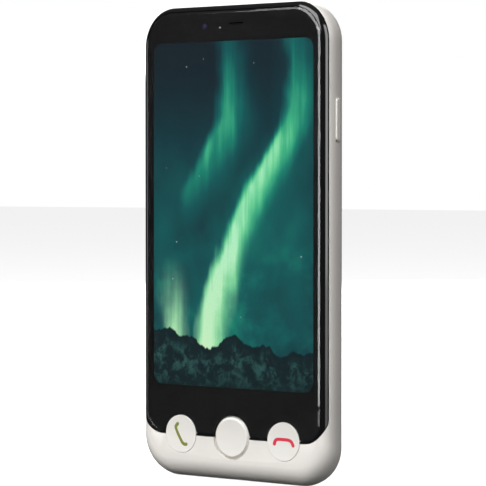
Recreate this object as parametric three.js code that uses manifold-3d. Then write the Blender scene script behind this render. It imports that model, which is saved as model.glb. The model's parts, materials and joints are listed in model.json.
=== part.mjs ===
// Easy-to-use touch-screen mobile phone: a glass front over a black frame, a pale one-piece shell whose
// chin wraps onto the front, and three round keys on the line where glass and chin meet.
//
// Millimetres. +X is to the right of someone facing the screen, +Y runs from the screen to the back,
// and +Z runs up towards the earpiece. Depths are counted from the flat front face towards the back.

import * as THREE from 'three';
import { mergeVertices } from 'three/addons/utils/BufferGeometryUtils.js';
import Module from 'manifold-3d';

// ---------------------------------------------------------------- driving dimensions

const HALF_WIDTH = 36.8;
const HEIGHT = 151.9;
const DEPTH = 10.5;
const HOME_RISE = 0.1;
const FRONT_Y = HOME_RISE - (DEPTH + HOME_RISE) / 2;

const TOP_RADIUS = 11.8;
const BOTTOM_RADIUS = 12.5;
const FRONT_EDGE = { across: 3.7, deep: 5 };
const TOP_EDGE_LIFT = 0.8;
const BACK_EDGE = { across: 2.4, deep: 5.5 };
const CHIN_ROLL = { tall: 6.9, deep: 5 };

const WALL = 1.5;
const FRONT_WALL = 2.2;
const CHIN_PLATE = 1.3;
const SEAM = 0.15;
const BEYOND = 3;

const MODULE = { halfWidth: 36.02, bottom: 13.93, cornerRadius: 8.5, seam: 1.9, back: 2.85, inset: 2.5 };
const GLASS = { halfWidth: 33, bottom: 15.6, top: 149.1, bottomRadius: 5, topRadius: 8.5, thickness: 0.8 };
const GLASS_BEVEL = { across: 0.8, deep: 0.5 };
const SCREEN = { halfWidth: 31.7, bottom: 26.9, top: 141.8, radius: 1 };
const PANEL = { near: 0.9, far: 1.7 };
const BACKLIGHT = { near: 1.75, far: 2.75 };

const MIDFRAME = { near: 3, far: 3.6, inset: 2.8, bottom: 22.8 };
const LEDGE = { near: 3.7, far: 4.3, inset: 3.6 };
const LIP = { near: 8.75, inset: 4.25 };
const COVER = { near: 9.4, inset: 4.4 };
const COVER_HOOK = { heights: [34, 64, 94], halfLength: 3, near: 8.1, far: 8.6 };
const MAIN_BOARD = { near: 4.4, far: 5.1, bottom: 110.5, inset: 3.9 };
const SUB_BOARD = { near: 3.5, far: 4.2, top: 21.9, inset: 3.9 };
const BATTERY = { halfWidth: 31, bottom: 27.6, top: 107.2, near: 4.05, far: 8.5 };
const SHIELDS = { left: [-24.5, -7, 115.5, 126.8], right: [6.5, 25, 111.3, 132], far: 6.8 };
const ANTENNA = { left: -24, right: 12, bottom: 141.2, top: 149, near: 7.4, far: 8.4, foot: 2 };
const ON_BOARD = 5.15;
const ON_SUB_BOARD = 4.25;

const KEY_Z = 14.06;
const KEY_X = 20.15;
const KEY_RADIUS = 6.1;
const HOME_RADIUS = 7;
const HOME_FACE_RADIUS = 6.15;
const HOME_CHAMFER_DEPTH = 0.7;
const KEY_DISH = 0.3;
const KEY_FLANGE = { near: 1.5, far: 2, overhang: 0.6 };
const KEY_CLEARANCE = 0.2;
const KEY_POCKET = { halfWidth: 28.2, top: 22.4 };
const KEY_MAT = { near: 2.5, far: 2.9, nub: 3.05 };
const DOME = { near: 3.1, far: 3.45, radius: 3.4 };

const SIDE_KEY = { near: 4.4, far: 6.8, proud: 0.45, clearance: 0.12, flange: 0.5 };
const POWER_KEY = { bottom: 108.1, top: 121.6, flangeOut: 35.1 };
const ROCKER = { bottom: 109.5, top: 125.5, flangeOut: 34.9, nubSpread: 5 };
const SWITCH_X = { inner: 32.1, outer: 33.8 };
const SWITCH_FAR = 6.9;

const ASSIST_KEY = { z: 119.5, radius: 5, clearance: 0.2 };
const CAMERA = { x: 0, z: 135, bezelRadius: 5.4, lensRadius: 3.6 };
const FLASH = { x: 9.5, z: 135, radius: 1.7 };
const FRONT_CAMERA = { x: -10.75, z: 145.2, half: 2.5 };
const SENSOR = { x: -4.45, z: 144.95 };
const EARPIECE = { x: 1.9, z: 145.35, slotZ: 145.8, slotLength: 5.95, slotHeight: 0.7 };

const SIM = { bottom: 128, top: 139.4, near: 5.4, far: 7.2 };
const JACK = { x: 17, depth: 6.5, bore: 1.75, bottom: 135.8, top: 149.9 };
const USB = { halfWidth: 4.47, depth: 5.95, halfHeight: 1.6, bottom: 0.9, top: 8.4 };
const SPEAKER = { left: -26.5, right: -10.5, bottom: 5.8, top: 17.8 };
const SPEAKER_SLOTS = { steps: [-2, -1, 0, 1, 2], pitch: 2.4, halfWidth: 0.5, bottom: 9.8, top: 13.8 };
const MICROPHONE = { x: 10, half: 1.5, bottom: 4.2, top: 7.2, far: 5.3, holeRadius: 0.5 };
const MOTOR = { x: 18, z: 12.5, radius: 4, far: 7 };

const SCREW = { headRadius: 1.4, headHeight: 0.55, shankRadius: 0.7, holeRadius: 0.9 };
const LUG_RADIUS = 2.2;
const BOARD_SCREWS = [[30, 144], [-30, 144], [27.5, 113.2], [-27.5, 113.2]];
const LOWER_SCREWS = [[30.5, 24.9], [-30.5, 24.9]];
const CHIN_SCREWS = [[29, 8.4], [-29, 8.4]];

const CORNER_STEPS = 4;
const KEY_STEPS = 20;
const SMALL_STEPS = 8;

const LOOKS = {
  ivory: { color: 0xe4e1d8, roughness: 0.5, metalness: 0 },
  blackPlastic: { color: 0x16171a, roughness: 0.35, metalness: 0 },
  glass: { color: 0x0c0d10, roughness: 0.05, metalness: 0 },
  screen: { color: 0x123a40, roughness: 0.3, metalness: 0 },
  keyIvory: { color: 0xebe8df, roughness: 0.45, metalness: 0 },
  steel: { color: 0xb4b6ba, roughness: 0.35, metalness: 1 },
  magnesium: { color: 0x8a8d92, roughness: 0.5, metalness: 0.9 },
  board: { color: 0x14402f, roughness: 0.5, metalness: 0 },
  battery: { color: 0x24262a, roughness: 0.5, metalness: 0 },
  flex: { color: 0x9a5a1c, roughness: 0.4, metalness: 0 },
  silicone: { color: 0xcfcfca, roughness: 0.7, metalness: 0 },
  mesh: { color: 0x2a2b2e, roughness: 0.6, metalness: 0.3 },
  clear: { color: 0xf2efe0, roughness: 0.15, metalness: 0 },
};

// ---------------------------------------------------------------- solids

const wasm = await Module();
wasm.setup();

const phone = new THREE.Group();

function add(name, geometry, look) {
  const mesh = new THREE.Mesh(geometry, new THREE.MeshStandardMaterial(LOOKS[look]));
  mesh.name = name;
  phone.add(mesh);
}

function solidOf(geometry) {
  const bare = geometry.clone();
  bare.deleteAttribute('normal');
  bare.deleteAttribute('uv');
  const merged = mergeVertices(bare, 1e-4);
  return new wasm.Manifold(new wasm.Mesh({
    numProp: 3,
    vertProperties: new Float32Array(merged.attributes.position.array),
    triVerts: new Uint32Array(merged.index.array),
  }));
}

function geometryOf(solid) {
  const mesh = solid.getMesh();
  const geometry = new THREE.BufferGeometry();
  geometry.setAttribute('position', new THREE.BufferAttribute(mesh.vertProperties, 3));
  geometry.setIndex(new THREE.BufferAttribute(mesh.triVerts, 1));
  geometry.computeVertexNormals();
  return geometry;
}

function joined(first, ...others) {
  return geometryOf(others.reduce((sum, other) => sum.add(solidOf(other)), solidOf(first)));
}

function cut(body, ...tools) {
  return geometryOf(tools.reduce((rest, tool) => rest.subtract(solidOf(tool)), solidOf(body)));
}

function common(first, ...others) {
  return geometryOf(others.reduce((part, other) => part.intersect(solidOf(other)), solidOf(first)));
}

// A flat piece: its outline is drawn in X and Z, and it fills the depths from near to far.
function slab(outline, near, far, steps = CORNER_STEPS) {
  const geometry = new THREE.ExtrudeGeometry(outline, {
    depth: far - near, bevelEnabled: false, curveSegments: steps,
  });
  geometry.rotateX(Math.PI / 2);
  geometry.translate(0, FRONT_Y + far, 0);
  return geometry;
}

// The same with rounded edges: the outline is that of the flat faces, and the walls stand outside it.
function pillow(outline, near, far, edge, steps = CORNER_STEPS) {
  const geometry = new THREE.ExtrudeGeometry(outline, {
    depth: far - near - 2 * edge.deep,
    bevelThickness: edge.deep,
    bevelSize: edge.across,
    bevelSegments: 3,
    curveSegments: steps,
  });
  geometry.rotateX(Math.PI / 2);
  geometry.translate(0, FRONT_Y + far - edge.deep, 0);
  return geometry;
}

// A bar along X: its section is drawn with depth first and Z second.
function beam(section, left, right, steps = CORNER_STEPS) {
  const geometry = new THREE.ExtrudeGeometry(section, {
    depth: right - left, bevelEnabled: false, curveSegments: steps,
  });
  const turn = new THREE.Matrix4().set(0, 0, 1, 0, 1, 0, 0, 0, 0, 1, 0, 0, 0, 0, 0, 1);
  geometry.applyMatrix4(turn);
  geometry.translate(left, FRONT_Y, 0);
  return geometry;
}

// A post along Z: its section is drawn with X first and depth second.
function post(section, bottom, top, steps = CORNER_STEPS) {
  const geometry = new THREE.ExtrudeGeometry(section, {
    depth: top - bottom, bevelEnabled: false, curveSegments: steps,
  });
  geometry.translate(0, FRONT_Y, bottom);
  return geometry;
}

function block(left, right, near, far, bottom, top) {
  const geometry = new THREE.BoxGeometry(right - left, far - near, top - bottom);
  geometry.translate((left + right) / 2, FRONT_Y + (near + far) / 2, (bottom + top) / 2);
  return geometry;
}

// A round piece turned about an axis along Y. The profile lists radius and depth, front to back.
function turned(profile, x, z, steps = KEY_STEPS) {
  const points = profile.map(([radius, depth]) => new THREE.Vector2(radius, depth));
  const geometry = new THREE.LatheGeometry(points, steps);
  geometry.translate(x, FRONT_Y, z);
  return geometry;
}

function disc(radius, near, far, x, z, steps = KEY_STEPS) {
  return turned([[0, near], [radius, near], [radius, far], [0, far]], x, z, steps);
}

// ---------------------------------------------------------------- outlines

function roundedRect(left, right, bottom, top, bottomRadius, topRadius = bottomRadius) {
  const shape = new THREE.Shape();
  shape.moveTo(left + bottomRadius, bottom);
  shape.lineTo(right - bottomRadius, bottom);
  shape.absarc(right - bottomRadius, bottom + bottomRadius, bottomRadius, -Math.PI / 2, 0);
  shape.lineTo(right, top - topRadius);
  shape.absarc(right - topRadius, top - topRadius, topRadius, 0, Math.PI / 2);
  shape.lineTo(left + topRadius, top);
  shape.absarc(left + topRadius, top - topRadius, topRadius, Math.PI / 2, Math.PI);
  shape.lineTo(left, bottom + bottomRadius);
  shape.absarc(left + bottomRadius, bottom + bottomRadius, bottomRadius, Math.PI, Math.PI * 1.5);
  return shape;
}

function bodyOutline(inset, bottom = inset, bottomRadius = BOTTOM_RADIUS - inset, lift = 0) {
  const side = HALF_WIDTH - inset;
  return roundedRect(-side, side, bottom, HEIGHT - inset + lift, bottomRadius, TOP_RADIUS - inset);
}

// The black front module reaches the sides of the body and ends in a round-cornered edge above the chin.
function moduleOutline(grow = 0) {
  const radius = MODULE.cornerRadius + grow;
  const centreX = MODULE.halfWidth - MODULE.cornerRadius;
  const centreZ = MODULE.bottom + MODULE.cornerRadius;
  const side = HALF_WIDTH + BEYOND;
  const shape = new THREE.Shape();
  shape.moveTo(-centreX, centreZ - radius);
  shape.lineTo(centreX, centreZ - radius);
  shape.absarc(centreX, centreZ, radius, -Math.PI / 2, 0);
  shape.lineTo(side, centreZ);
  shape.lineTo(side, HEIGHT + BEYOND);
  shape.lineTo(-side, HEIGHT + BEYOND);
  shape.lineTo(-side, centreZ);
  shape.lineTo(-centreX - radius, centreZ);
  shape.absarc(-centreX, centreZ, radius, Math.PI, Math.PI * 1.5);
  return shape;
}

// Side view of everything above the rounded lower front edge, with that edge moved inwards by the insets.
function chinRoll(depthInset, heightInset) {
  const shape = new THREE.Shape();
  const deep = CHIN_ROLL.deep - depthInset;
  const tall = CHIN_ROLL.tall - heightInset;
  shape.moveTo(CHIN_ROLL.deep, heightInset);
  shape.lineTo(DEPTH + BEYOND, heightInset);
  shape.lineTo(DEPTH + BEYOND, HEIGHT + BEYOND);
  shape.lineTo(depthInset, HEIGHT + BEYOND);
  shape.lineTo(depthInset, CHIN_ROLL.tall);
  shape.absellipse(CHIN_ROLL.deep, CHIN_ROLL.tall, deep, tall, Math.PI, Math.PI * 1.5);
  return shape;
}

// The whole body without its keys. Its sides are widest where the front and back roundings meet.
// The front rounding is lifted along the top, so there it meets the flat top end already at the seam.
function envelope() {
  const side = HALF_WIDTH + BEYOND;
  const inset = FRONT_EDGE.across;
  const face = bodyOutline(inset, inset, BOTTOM_RADIUS - inset, TOP_EDGE_LIFT);
  return common(
    pillow(face, 0, DEPTH + 2 * BEYOND, FRONT_EDGE),
    pillow(bodyOutline(BACK_EDGE.across), -3 * BEYOND, DEPTH, BACK_EDGE),
    beam(chinRoll(0, 0), -side, side),
  );
}

function sideKeySection(bottom, top, grow) {
  const radius = (SIDE_KEY.far - SIDE_KEY.near) / 2 + grow;
  return roundedRect(SIDE_KEY.near - grow, SIDE_KEY.far + grow, bottom - grow, top + grow, radius);
}

function usbSection(grow) {
  const { halfWidth, halfHeight, depth } = USB;
  const radius = halfHeight + grow - 0.05;
  return roundedRect(
    -halfWidth - grow, halfWidth + grow, depth - halfHeight - grow, depth + halfHeight + grow, radius,
  );
}

function circle(x, y, radius) {
  const shape = new THREE.Shape();
  shape.absarc(x, y, radius, 0, Math.PI * 2);
  return shape;
}

function keyHoles(extra, near, far) {
  return [
    disc(KEY_RADIUS + extra, near, far, -KEY_X, KEY_Z),
    disc(HOME_RADIUS + extra, near, far, 0, KEY_Z),
    disc(KEY_RADIUS + extra, near, far, KEY_X, KEY_Z),
  ];
}

function screwHoles(places, near, far) {
  return places.map(([x, z]) => disc(SCREW.holeRadius, near, far, x, z, SMALL_STEPS));
}

// ---------------------------------------------------------------- casing

// A lug stands in from the shell's ledge and takes the clamping force of one screw.
function lug([x, z]) {
  const outer = Math.sign(x) * (HALF_WIDTH - LEDGE.inset + 0.5);
  return [
    disc(LUG_RADIUS, LEDGE.near, LEDGE.far, x, z, SMALL_STEPS),
    block(Math.min(x, outer), Math.max(x, outer), LEDGE.near, LEDGE.far, z - 1.8, z + 1.8),
  ];
}

function shell() {
  const side = HALF_WIDTH + BEYOND;
  const front = common(
    slab(bodyOutline(FRONT_WALL), CHIN_PLATE, LEDGE.near),
    beam(chinRoll(CHIN_PLATE, WALL), -side, side),
  );
  const hollow = cut(
    envelope(),
    slab(moduleOutline(SEAM), -BEYOND, MODULE.seam + SEAM),
    front,
    slab(bodyOutline(LEDGE.inset), LEDGE.near - 0.2, LEDGE.far + 0.2),
    slab(bodyOutline(WALL), LEDGE.far, LIP.near),
    slab(bodyOutline(LIP.inset), LIP.near - 0.2, DEPTH + BEYOND),
  );
  const bosses = CHIN_SCREWS.map(([x, z]) => disc(1.8, CHIN_PLATE - 0.3, SUB_BOARD.near - 0.1, x, z));
  const lugs = [...BOARD_SCREWS, ...LOWER_SCREWS].flatMap(lug);
  const wallInner = HALF_WIDTH - WALL - 0.6;
  const grow = SIDE_KEY.clearance;
  const pocketGrow = SIDE_KEY.flange + 0.4;
  const pocketX = HALF_WIDTH - LEDGE.inset + 0.8;
  const traySlot = roundedRect(SIM.near - grow, SIM.far + grow, SIM.bottom - grow, SIM.top + grow, 0.8);
  return cut(
    joined(hollow, ...lugs, ...bosses),
    ...keyHoles(KEY_CLEARANCE, -BEYOND, CHIN_PLATE + 0.1),
    ...screwHoles([...BOARD_SCREWS, ...LOWER_SCREWS], LEDGE.near - 1, LEDGE.far + 1),
    ...screwHoles(CHIN_SCREWS, 1.6, SUB_BOARD.near + 1),
    beam(sideKeySection(POWER_KEY.bottom, POWER_KEY.top, grow), wallInner, side),
    beam(sideKeySection(ROCKER.bottom, ROCKER.top, grow), -side, -wallInner),
    beam(sideKeySection(POWER_KEY.bottom, POWER_KEY.top, pocketGrow), pocketX, HALF_WIDTH - WALL),
    beam(sideKeySection(ROCKER.bottom, ROCKER.top, pocketGrow), WALL - HALF_WIDTH, -pocketX),
    beam(traySlot, -side, -wallInner),
    post(usbSection(0.25), -BEYOND, LEDGE.inset + 0.2),
    post(circle(JACK.x, JACK.depth, JACK.bore + 0.2), HEIGHT - WALL - 0.2, HEIGHT + BEYOND),
    post(circle(MICROPHONE.x, USB.depth, MICROPHONE.holeRadius), -BEYOND, WALL + 0.2, 3),
  );
}

// Flat removable back, with hooks along its sides that catch under the shell's lip.
function rearCover() {
  const side = HALF_WIDTH - COVER.inset;
  const { heights, halfLength, near: hookNear, far: hookFar } = COVER_HOOK;
  const spans = [
    [side - 0.65, side - 0.05, hookNear + 0.1, COVER.near + 0.3],
    [side - 0.65, side + 1.1, hookNear, hookFar],
  ];
  const hooks = [-1, 1].flatMap((hand) => heights.flatMap((z) => spans.map(([inner, outer, near, far]) => {
    const left = hand > 0 ? inner : -outer;
    return block(left, left + outer - inner, near, far, z - halfLength, z + halfLength);
  })));
  const slots = SPEAKER_SLOTS.steps.map((step) => {
    const { pitch, halfWidth, bottom, top } = SPEAKER_SLOTS;
    const x = (SPEAKER.left + SPEAKER.right) / 2 + step * pitch;
    const outline = roundedRect(x - halfWidth, x + halfWidth, bottom, top, halfWidth);
    return slab(outline, COVER.near - 1, DEPTH + 1, 3);
  });
  return cut(
    joined(slab(bodyOutline(COVER.inset), COVER.near, DEPTH), ...hooks),
    disc(CAMERA.bezelRadius + SEAM, COVER.near - 1, DEPTH + 1, CAMERA.x, CAMERA.z),
    disc(FLASH.radius + SEAM, COVER.near - 1, DEPTH + 1, FLASH.x, FLASH.z, SMALL_STEPS),
    disc(ASSIST_KEY.radius + ASSIST_KEY.clearance, COVER.near - 1, DEPTH + 1, 0, ASSIST_KEY.z),
    ...slots,
  );
}

function glassOutline(grow) {
  const { halfWidth, bottom, top, bottomRadius, topRadius } = GLASS;
  return roundedRect(
    -halfWidth - grow, halfWidth + grow, bottom - grow, top + grow, bottomRadius + grow, topRadius + grow,
  );
}

function displayFrame() {
  const gap = 0.3;
  const opening = SCREEN.halfWidth + gap;
  const window = roundedRect(-opening, opening, SCREEN.bottom - gap, SCREEN.top + gap, 1.3);
  const seatFar = MODULE.back + 1;
  const rim = common(envelope(), slab(moduleOutline(), -BEYOND, MODULE.seam));
  const tongue = slab(bodyOutline(MODULE.inset, KEY_POCKET.top - 2, 1), MODULE.seam - 0.6, MODULE.back);
  return cut(
    joined(rim, tongue),
    slab(glassOutline(GLASS_BEVEL.across + SEAM), -BEYOND, GLASS.thickness + SEAM),
    slab(window, 0.5, seatFar),
    block(-KEY_POCKET.halfWidth, KEY_POCKET.halfWidth, CHIN_PLATE, seatFar, 8, KEY_POCKET.top),
    ...keyHoles(KEY_CLEARANCE, -BEYOND, MODULE.back),
    block(FRONT_CAMERA.x - 2.75, FRONT_CAMERA.x + 2.75, 0.5, seatFar, 142.45, 147.95),
    block(SENSOR.x - 1.7, SENSOR.x + 1.3, 0.5, seatFar, 143.4, 146.4),
    block(EARPIECE.x - 4.8, EARPIECE.x + 4.8, 0.5, seatFar, 142.7, 147.95),
  );
}

function coverGlass() {
  const { slotLength, slotHeight, slotZ } = EARPIECE;
  const slot = roundedRect(
    EARPIECE.x - slotLength / 2, EARPIECE.x + slotLength / 2,
    slotZ - slotHeight / 2, slotZ + slotHeight / 2, slotHeight / 2 - 0.01,
  );
  return cut(
    pillow(glassOutline(0), 0, GLASS.thickness + 4, GLASS_BEVEL),
    block(-50, 50, GLASS.thickness, GLASS.thickness + 8, -10, HEIGHT + 10),
    ...keyHoles(KEY_CLEARANCE, -BEYOND, BEYOND),
    slab(slot, -1, BEYOND, 3),
  );
}

function midframe() {
  const { near, far, inset, bottom } = MIDFRAME;
  return cut(
    slab(bodyOutline(inset, bottom, 1), near, far),
    block(-14, 7.2, near - 1, far + 1, 142, HEIGHT),
    block(9, 18, near - 1, far + 1, 28.3, 30.1),
    ...screwHoles([...BOARD_SCREWS, ...LOWER_SCREWS], near - 1, far + 1),
  );
}

add('shell', shell(), 'ivory');
add('rear_cover', rearCover(), 'ivory');
add('display_frame', displayFrame(), 'blackPlastic');
add('cover_glass', coverGlass(), 'glass');
add('midframe', midframe(), 'magnesium');

// ---------------------------------------------------------------- screen

function screenOutline(inset) {
  const side = SCREEN.halfWidth - inset;
  return roundedRect(-side, side, SCREEN.bottom + inset, SCREEN.top - inset, SCREEN.radius);
}

add('display_panel', slab(screenOutline(0), PANEL.near, PANEL.far, 2), 'screen');
add('backlight_tray', slab(screenOutline(0.1), BACKLIGHT.near, BACKLIGHT.far, 2), 'steel');

// ---------------------------------------------------------------- front keys

// A flush key has a shallow dish and a softly broken edge; its flange sits behind the chin.
function flushKey(x) {
  const { near, far, overhang } = KEY_FLANGE;
  const edge = -0.08;
  return turned([
    [0, edge + KEY_DISH], [3, edge + KEY_DISH * 0.75], [5.2, edge + KEY_DISH * 0.2],
    [KEY_RADIUS - 0.2, edge], [KEY_RADIUS, edge + 0.1],
    [KEY_RADIUS, near], [KEY_RADIUS + overhang, near], [KEY_RADIUS + overhang, far], [0, far],
  ], x, KEY_Z);
}

// The home key has a dished face, and a wide chamfer that runs down into its hole.
function homeKey() {
  const { near, far, overhang } = KEY_FLANGE;
  return turned([
    [0, KEY_DISH], [3, KEY_DISH * 0.7], [5.4, 0], [HOME_FACE_RADIUS - 0.2, -HOME_RISE],
    [HOME_FACE_RADIUS, 0.05 - HOME_RISE], [HOME_RADIUS, HOME_CHAMFER_DEPTH],
    [HOME_RADIUS, near], [HOME_RADIUS + overhang, near], [HOME_RADIUS + overhang, far], [0, far],
  ], 0, KEY_Z);
}

// One silicone sheet lies behind the three keys, with a nub over each dome.
function keyMat() {
  const { near, far, nub } = KEY_MAT;
  const centres = [-KEY_X, 0, KEY_X];
  const pads = centres.map((x) => disc(5.8, near, far, x, KEY_Z));
  const nubs = centres.map((x) => disc(1.2, far - 0.1, nub, x, KEY_Z, SMALL_STEPS));
  return joined(block(-KEY_X, KEY_X, near, far, KEY_Z - 2, KEY_Z + 2), ...pads, ...nubs);
}

// A dome is a thin spring-steel cap whose rim rests on the board.
function dome(x) {
  const { near, far, radius } = DOME;
  const skin = 0.12;
  return turned([
    [0, near], [radius * 0.4, near + 0.06], [radius * 0.75, near + 0.2], [radius, far - skin],
    [radius, far], [radius * 0.72, near + 0.2 + skin],
    [radius * 0.4, near + 0.06 + skin], [0, near + skin],
  ], x, KEY_Z, 16);
}

add('call_key', flushKey(-KEY_X), 'keyIvory');
add('home_key', homeKey(), 'keyIvory');
add('end_key', flushKey(KEY_X), 'keyIvory');
add('key_mat', keyMat(), 'silicone');
add('call_dome', dome(-KEY_X), 'steel');
add('home_dome', dome(0), 'steel');
add('end_dome', dome(KEY_X), 'steel');

// ---------------------------------------------------------------- side keys and their switches

// Drawn for the right-hand side: a rounded cap through the wall, a flange and nubs inside.
function sideKey({ bottom, top, flangeOut }, nubHeights) {
  const flangeIn = flangeOut - 0.45;
  const cap = beam(sideKeySection(bottom, top, 0), flangeOut - 0.1, HALF_WIDTH + SIDE_KEY.proud - 0.2);
  const crown = beam(sideKeySection(bottom, top, -0.2), flangeOut, HALF_WIDTH + SIDE_KEY.proud);
  const flange = beam(sideKeySection(bottom, top, SIDE_KEY.flange), flangeIn, flangeOut);
  const nubs = nubHeights.map((z) => block(flangeIn - 0.2, flangeOut - 0.1, 5.3, 6.3, z - 1.2, z + 1.2));
  return joined(flange, cap, crown, ...nubs);
}

function mirrored(geometry) {
  const flipped = geometry.clone().scale(-1, 1, 1);
  const index = flipped.index.array;
  for (let i = 0; i < index.length; i += 3) {
    [index[i], index[i + 1]] = [index[i + 1], index[i]];
  }
  flipped.computeVertexNormals();
  return flipped;
}

// A push switch lies on the board's edge, with its button facing out.
function edgeSwitch(z) {
  const { inner, outer } = SWITCH_X;
  return joined(
    block(inner, outer - 0.35, ON_BOARD, SWITCH_FAR, z - 2, z + 2),
    block(outer - 0.6, outer, 5.4, 6.4, z - 1, z + 1),
  );
}

const powerZ = (POWER_KEY.bottom + POWER_KEY.top) / 2;
const rockerZ = (ROCKER.bottom + ROCKER.top) / 2;
const rockerNubs = [rockerZ - ROCKER.nubSpread, rockerZ + ROCKER.nubSpread];

add('power_key', sideKey(POWER_KEY, [powerZ]), 'keyIvory');
add('power_switch', edgeSwitch(powerZ), 'steel');
add('volume_rocker', mirrored(sideKey(ROCKER, rockerNubs)), 'keyIvory');
add('volume_down_switch', mirrored(edgeSwitch(rockerNubs[0])), 'steel');
add('volume_up_switch', mirrored(edgeSwitch(rockerNubs[1])), 'steel');

// ---------------------------------------------------------------- assistance key on the back

function assistKey() {
  const { z, radius } = ASSIST_KEY;
  return turned([
    [0, 8.3], [1.5, 8.3], [1.5, 8.8], [radius + 0.8, 8.8], [radius + 0.8, 9.2], [radius, 9.2],
    [radius, DEPTH - 0.25], [radius - 0.2, DEPTH - 0.1], [3.6, DEPTH - 0.12], [0, DEPTH - 0.35],
  ], 0, z);
}

function assistSwitch() {
  const { z } = ASSIST_KEY;
  return joined(
    block(-2.3, 2.3, ON_BOARD, 7.2, z - 2.3, z + 2.3),
    disc(1.2, 7, 7.75, 0, z, SMALL_STEPS),
  );
}

add('assist_key', assistKey(), 'keyIvory');
add('assist_switch', assistSwitch(), 'steel');

// ---------------------------------------------------------------- boards, battery and flexible leads

function mainBoard() {
  const { near, far, bottom, inset } = MAIN_BOARD;
  return cut(
    slab(bodyOutline(inset, bottom, 1.5), near, far),
    block(JACK.x - 3.4, JACK.x + 3.4, near - 1, far + 1, JACK.bottom - 0.3, HEIGHT),
    ...screwHoles(BOARD_SCREWS, near - 1, far + 1),
  );
}

function subBoard() {
  const { near, far, top, inset } = SUB_BOARD;
  const side = HALF_WIDTH - inset;
  return cut(
    slab(roundedRect(-side, side, inset, top, BOTTOM_RADIUS - inset, 1.5), near, far),
    ...screwHoles(CHIN_SCREWS, near - 1, far + 1),
  );
}

// A flexible lead is one thin strip bent along a path of [depth, z] steps, the same thickness all the way.
function flexStrip(left, right, path) {
  const thickness = 0.2;
  const section = new THREE.Shape();
  path.forEach(([depth, z], i) => (i ? section.lineTo(depth, z) : section.moveTo(depth, z)));
  [...path].reverse().forEach(([depth, z]) => section.lineTo(depth + thickness, z));
  return beam(section, left, right);
}

function shieldCan([left, right, bottom, top]) {
  return slab(roundedRect(left, right, bottom, top, 0.8), ON_BOARD, SHIELDS.far, 2);
}

// The battery is a flat block with softly rounded long edges.
function battery() {
  const { halfWidth, bottom, top, near, far } = BATTERY;
  const edge = { across: 0.8, deep: 0.8 };
  const side = halfWidth - edge.across;
  return pillow(
    roundedRect(-side, side, bottom + edge.across, top - edge.across, 1), near, far, edge, 2,
  );
}

add('main_board', mainBoard(), 'board');
add('sub_board', subBoard(), 'board');
add('battery', battery(), 'battery');
add('battery_connector', block(-5, 5, ON_BOARD, 6.5, 111, 113.6), 'blackPlastic');
add('shield_can_left', shieldCan(SHIELDS.left), 'steel');
add('shield_can_right', shieldCan(SHIELDS.right), 'steel');
add('board_flex', flexStrip(-7, 7, [
  [4.28, 17.5], [4.28, 22.4], [3.7, 23.4], [3.7, 108.5], [4.1, 109.6], [4.1, 115],
]), 'flex');
add('display_flex', flexStrip(10, 17, [
  [2.85, 29], [3.7, 29.4], [3.7, 108.5], [4.1, 109.6], [4.1, 115],
]), 'flex');

// The antenna is printed on a plastic bridge over the top end of the main board.
function antennaBracket() {
  const { left, right, bottom, top, near, far, foot } = ANTENNA;
  const footTop = near + 0.2;
  return joined(
    slab(roundedRect(left, right, bottom, top, 1), near, far, 2),
    block(left, left + foot, ON_BOARD, footTop, bottom + 0.6, top - 1.2),
    block(right - foot, right, ON_BOARD, footTop, bottom + 0.6, top - 1.2),
  );
}

add('antenna_bracket', antennaBracket(), 'blackPlastic');

// ---------------------------------------------------------------- cameras, flash and sensors

function rearCamera() {
  const { x, z } = CAMERA;
  return joined(
    block(x - 4.3, x + 4.3, ON_BOARD, 8.3, z - 4.3, z + 4.3),
    disc(3.2, 8.1, 9.2, x, z, 20),
  );
}

function cameraBezel() {
  const { x, z, bezelRadius, lensRadius } = CAMERA;
  const inner = lensRadius + SEAM;
  return turned([
    [inner, 9.4], [bezelRadius, 9.4], [bezelRadius, DEPTH - 0.2], [bezelRadius - 0.2, DEPTH],
    [inner + 0.25, DEPTH], [inner, DEPTH - 0.25], [inner, 9.4],
  ], x, z);
}

function flashWindow() {
  const { x, z, radius } = FLASH;
  return turned([
    [0, 6.3], [1.1, 6.3], [1.1, 9.45], [radius, 9.45], [radius, DEPTH - 0.1], [0, DEPTH - 0.1],
  ], x, z, 16);
}

function flashLed() {
  const { x, z } = FLASH;
  const half = 1.2;
  return block(x - half, x + half, ON_BOARD, 5.9, z - half, z + half);
}

function frontCamera() {
  const { x, z, half } = FRONT_CAMERA;
  return joined(
    block(x - half, x + half, 1.5, 3.6, z - half, z + half),
    disc(1.5, 0.95, 1.6, x, z, 16),
  );
}

add('rear_camera', rearCamera(), 'blackPlastic');
add('camera_bezel', cameraBezel(), 'steel');
add('camera_lens', disc(CAMERA.lensRadius, 9.45, 10.15, CAMERA.x, CAMERA.z), 'glass');
add('flash_led', flashLed(), 'clear');
add('flash_window', flashWindow(), 'clear');
add('front_camera', frontCamera(), 'blackPlastic');
add('proximity_sensor', block(SENSOR.x - 1.4, SENSOR.x + 1, 1, 2.6, 143.7, 146.1), 'blackPlastic');

// ---------------------------------------------------------------- sound

function earpiece() {
  const { x } = EARPIECE;
  return slab(roundedRect(x - 4.5, x + 4.5, 143, 147.6, 1.2), 1.3, 3.6, 3);
}

function earpieceMesh() {
  const { x, slotZ, slotLength } = EARPIECE;
  const half = slotLength / 2 - 0.35;
  return block(x - half, x + half, 0.12, 0.9, slotZ - 0.15, slotZ + 0.15);
}

function loudspeaker() {
  const { left, right, bottom, top } = SPEAKER;
  return slab(roundedRect(left, right, bottom, top, 1.5), ON_SUB_BOARD, 8.4, 3);
}

function speakerMesh() {
  const middle = (SPEAKER.left + SPEAKER.right) / 2;
  return slab(roundedRect(middle - 7, middle + 7, 9.1, 14.5, 1), 8.85, 9.25, 3);
}

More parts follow.
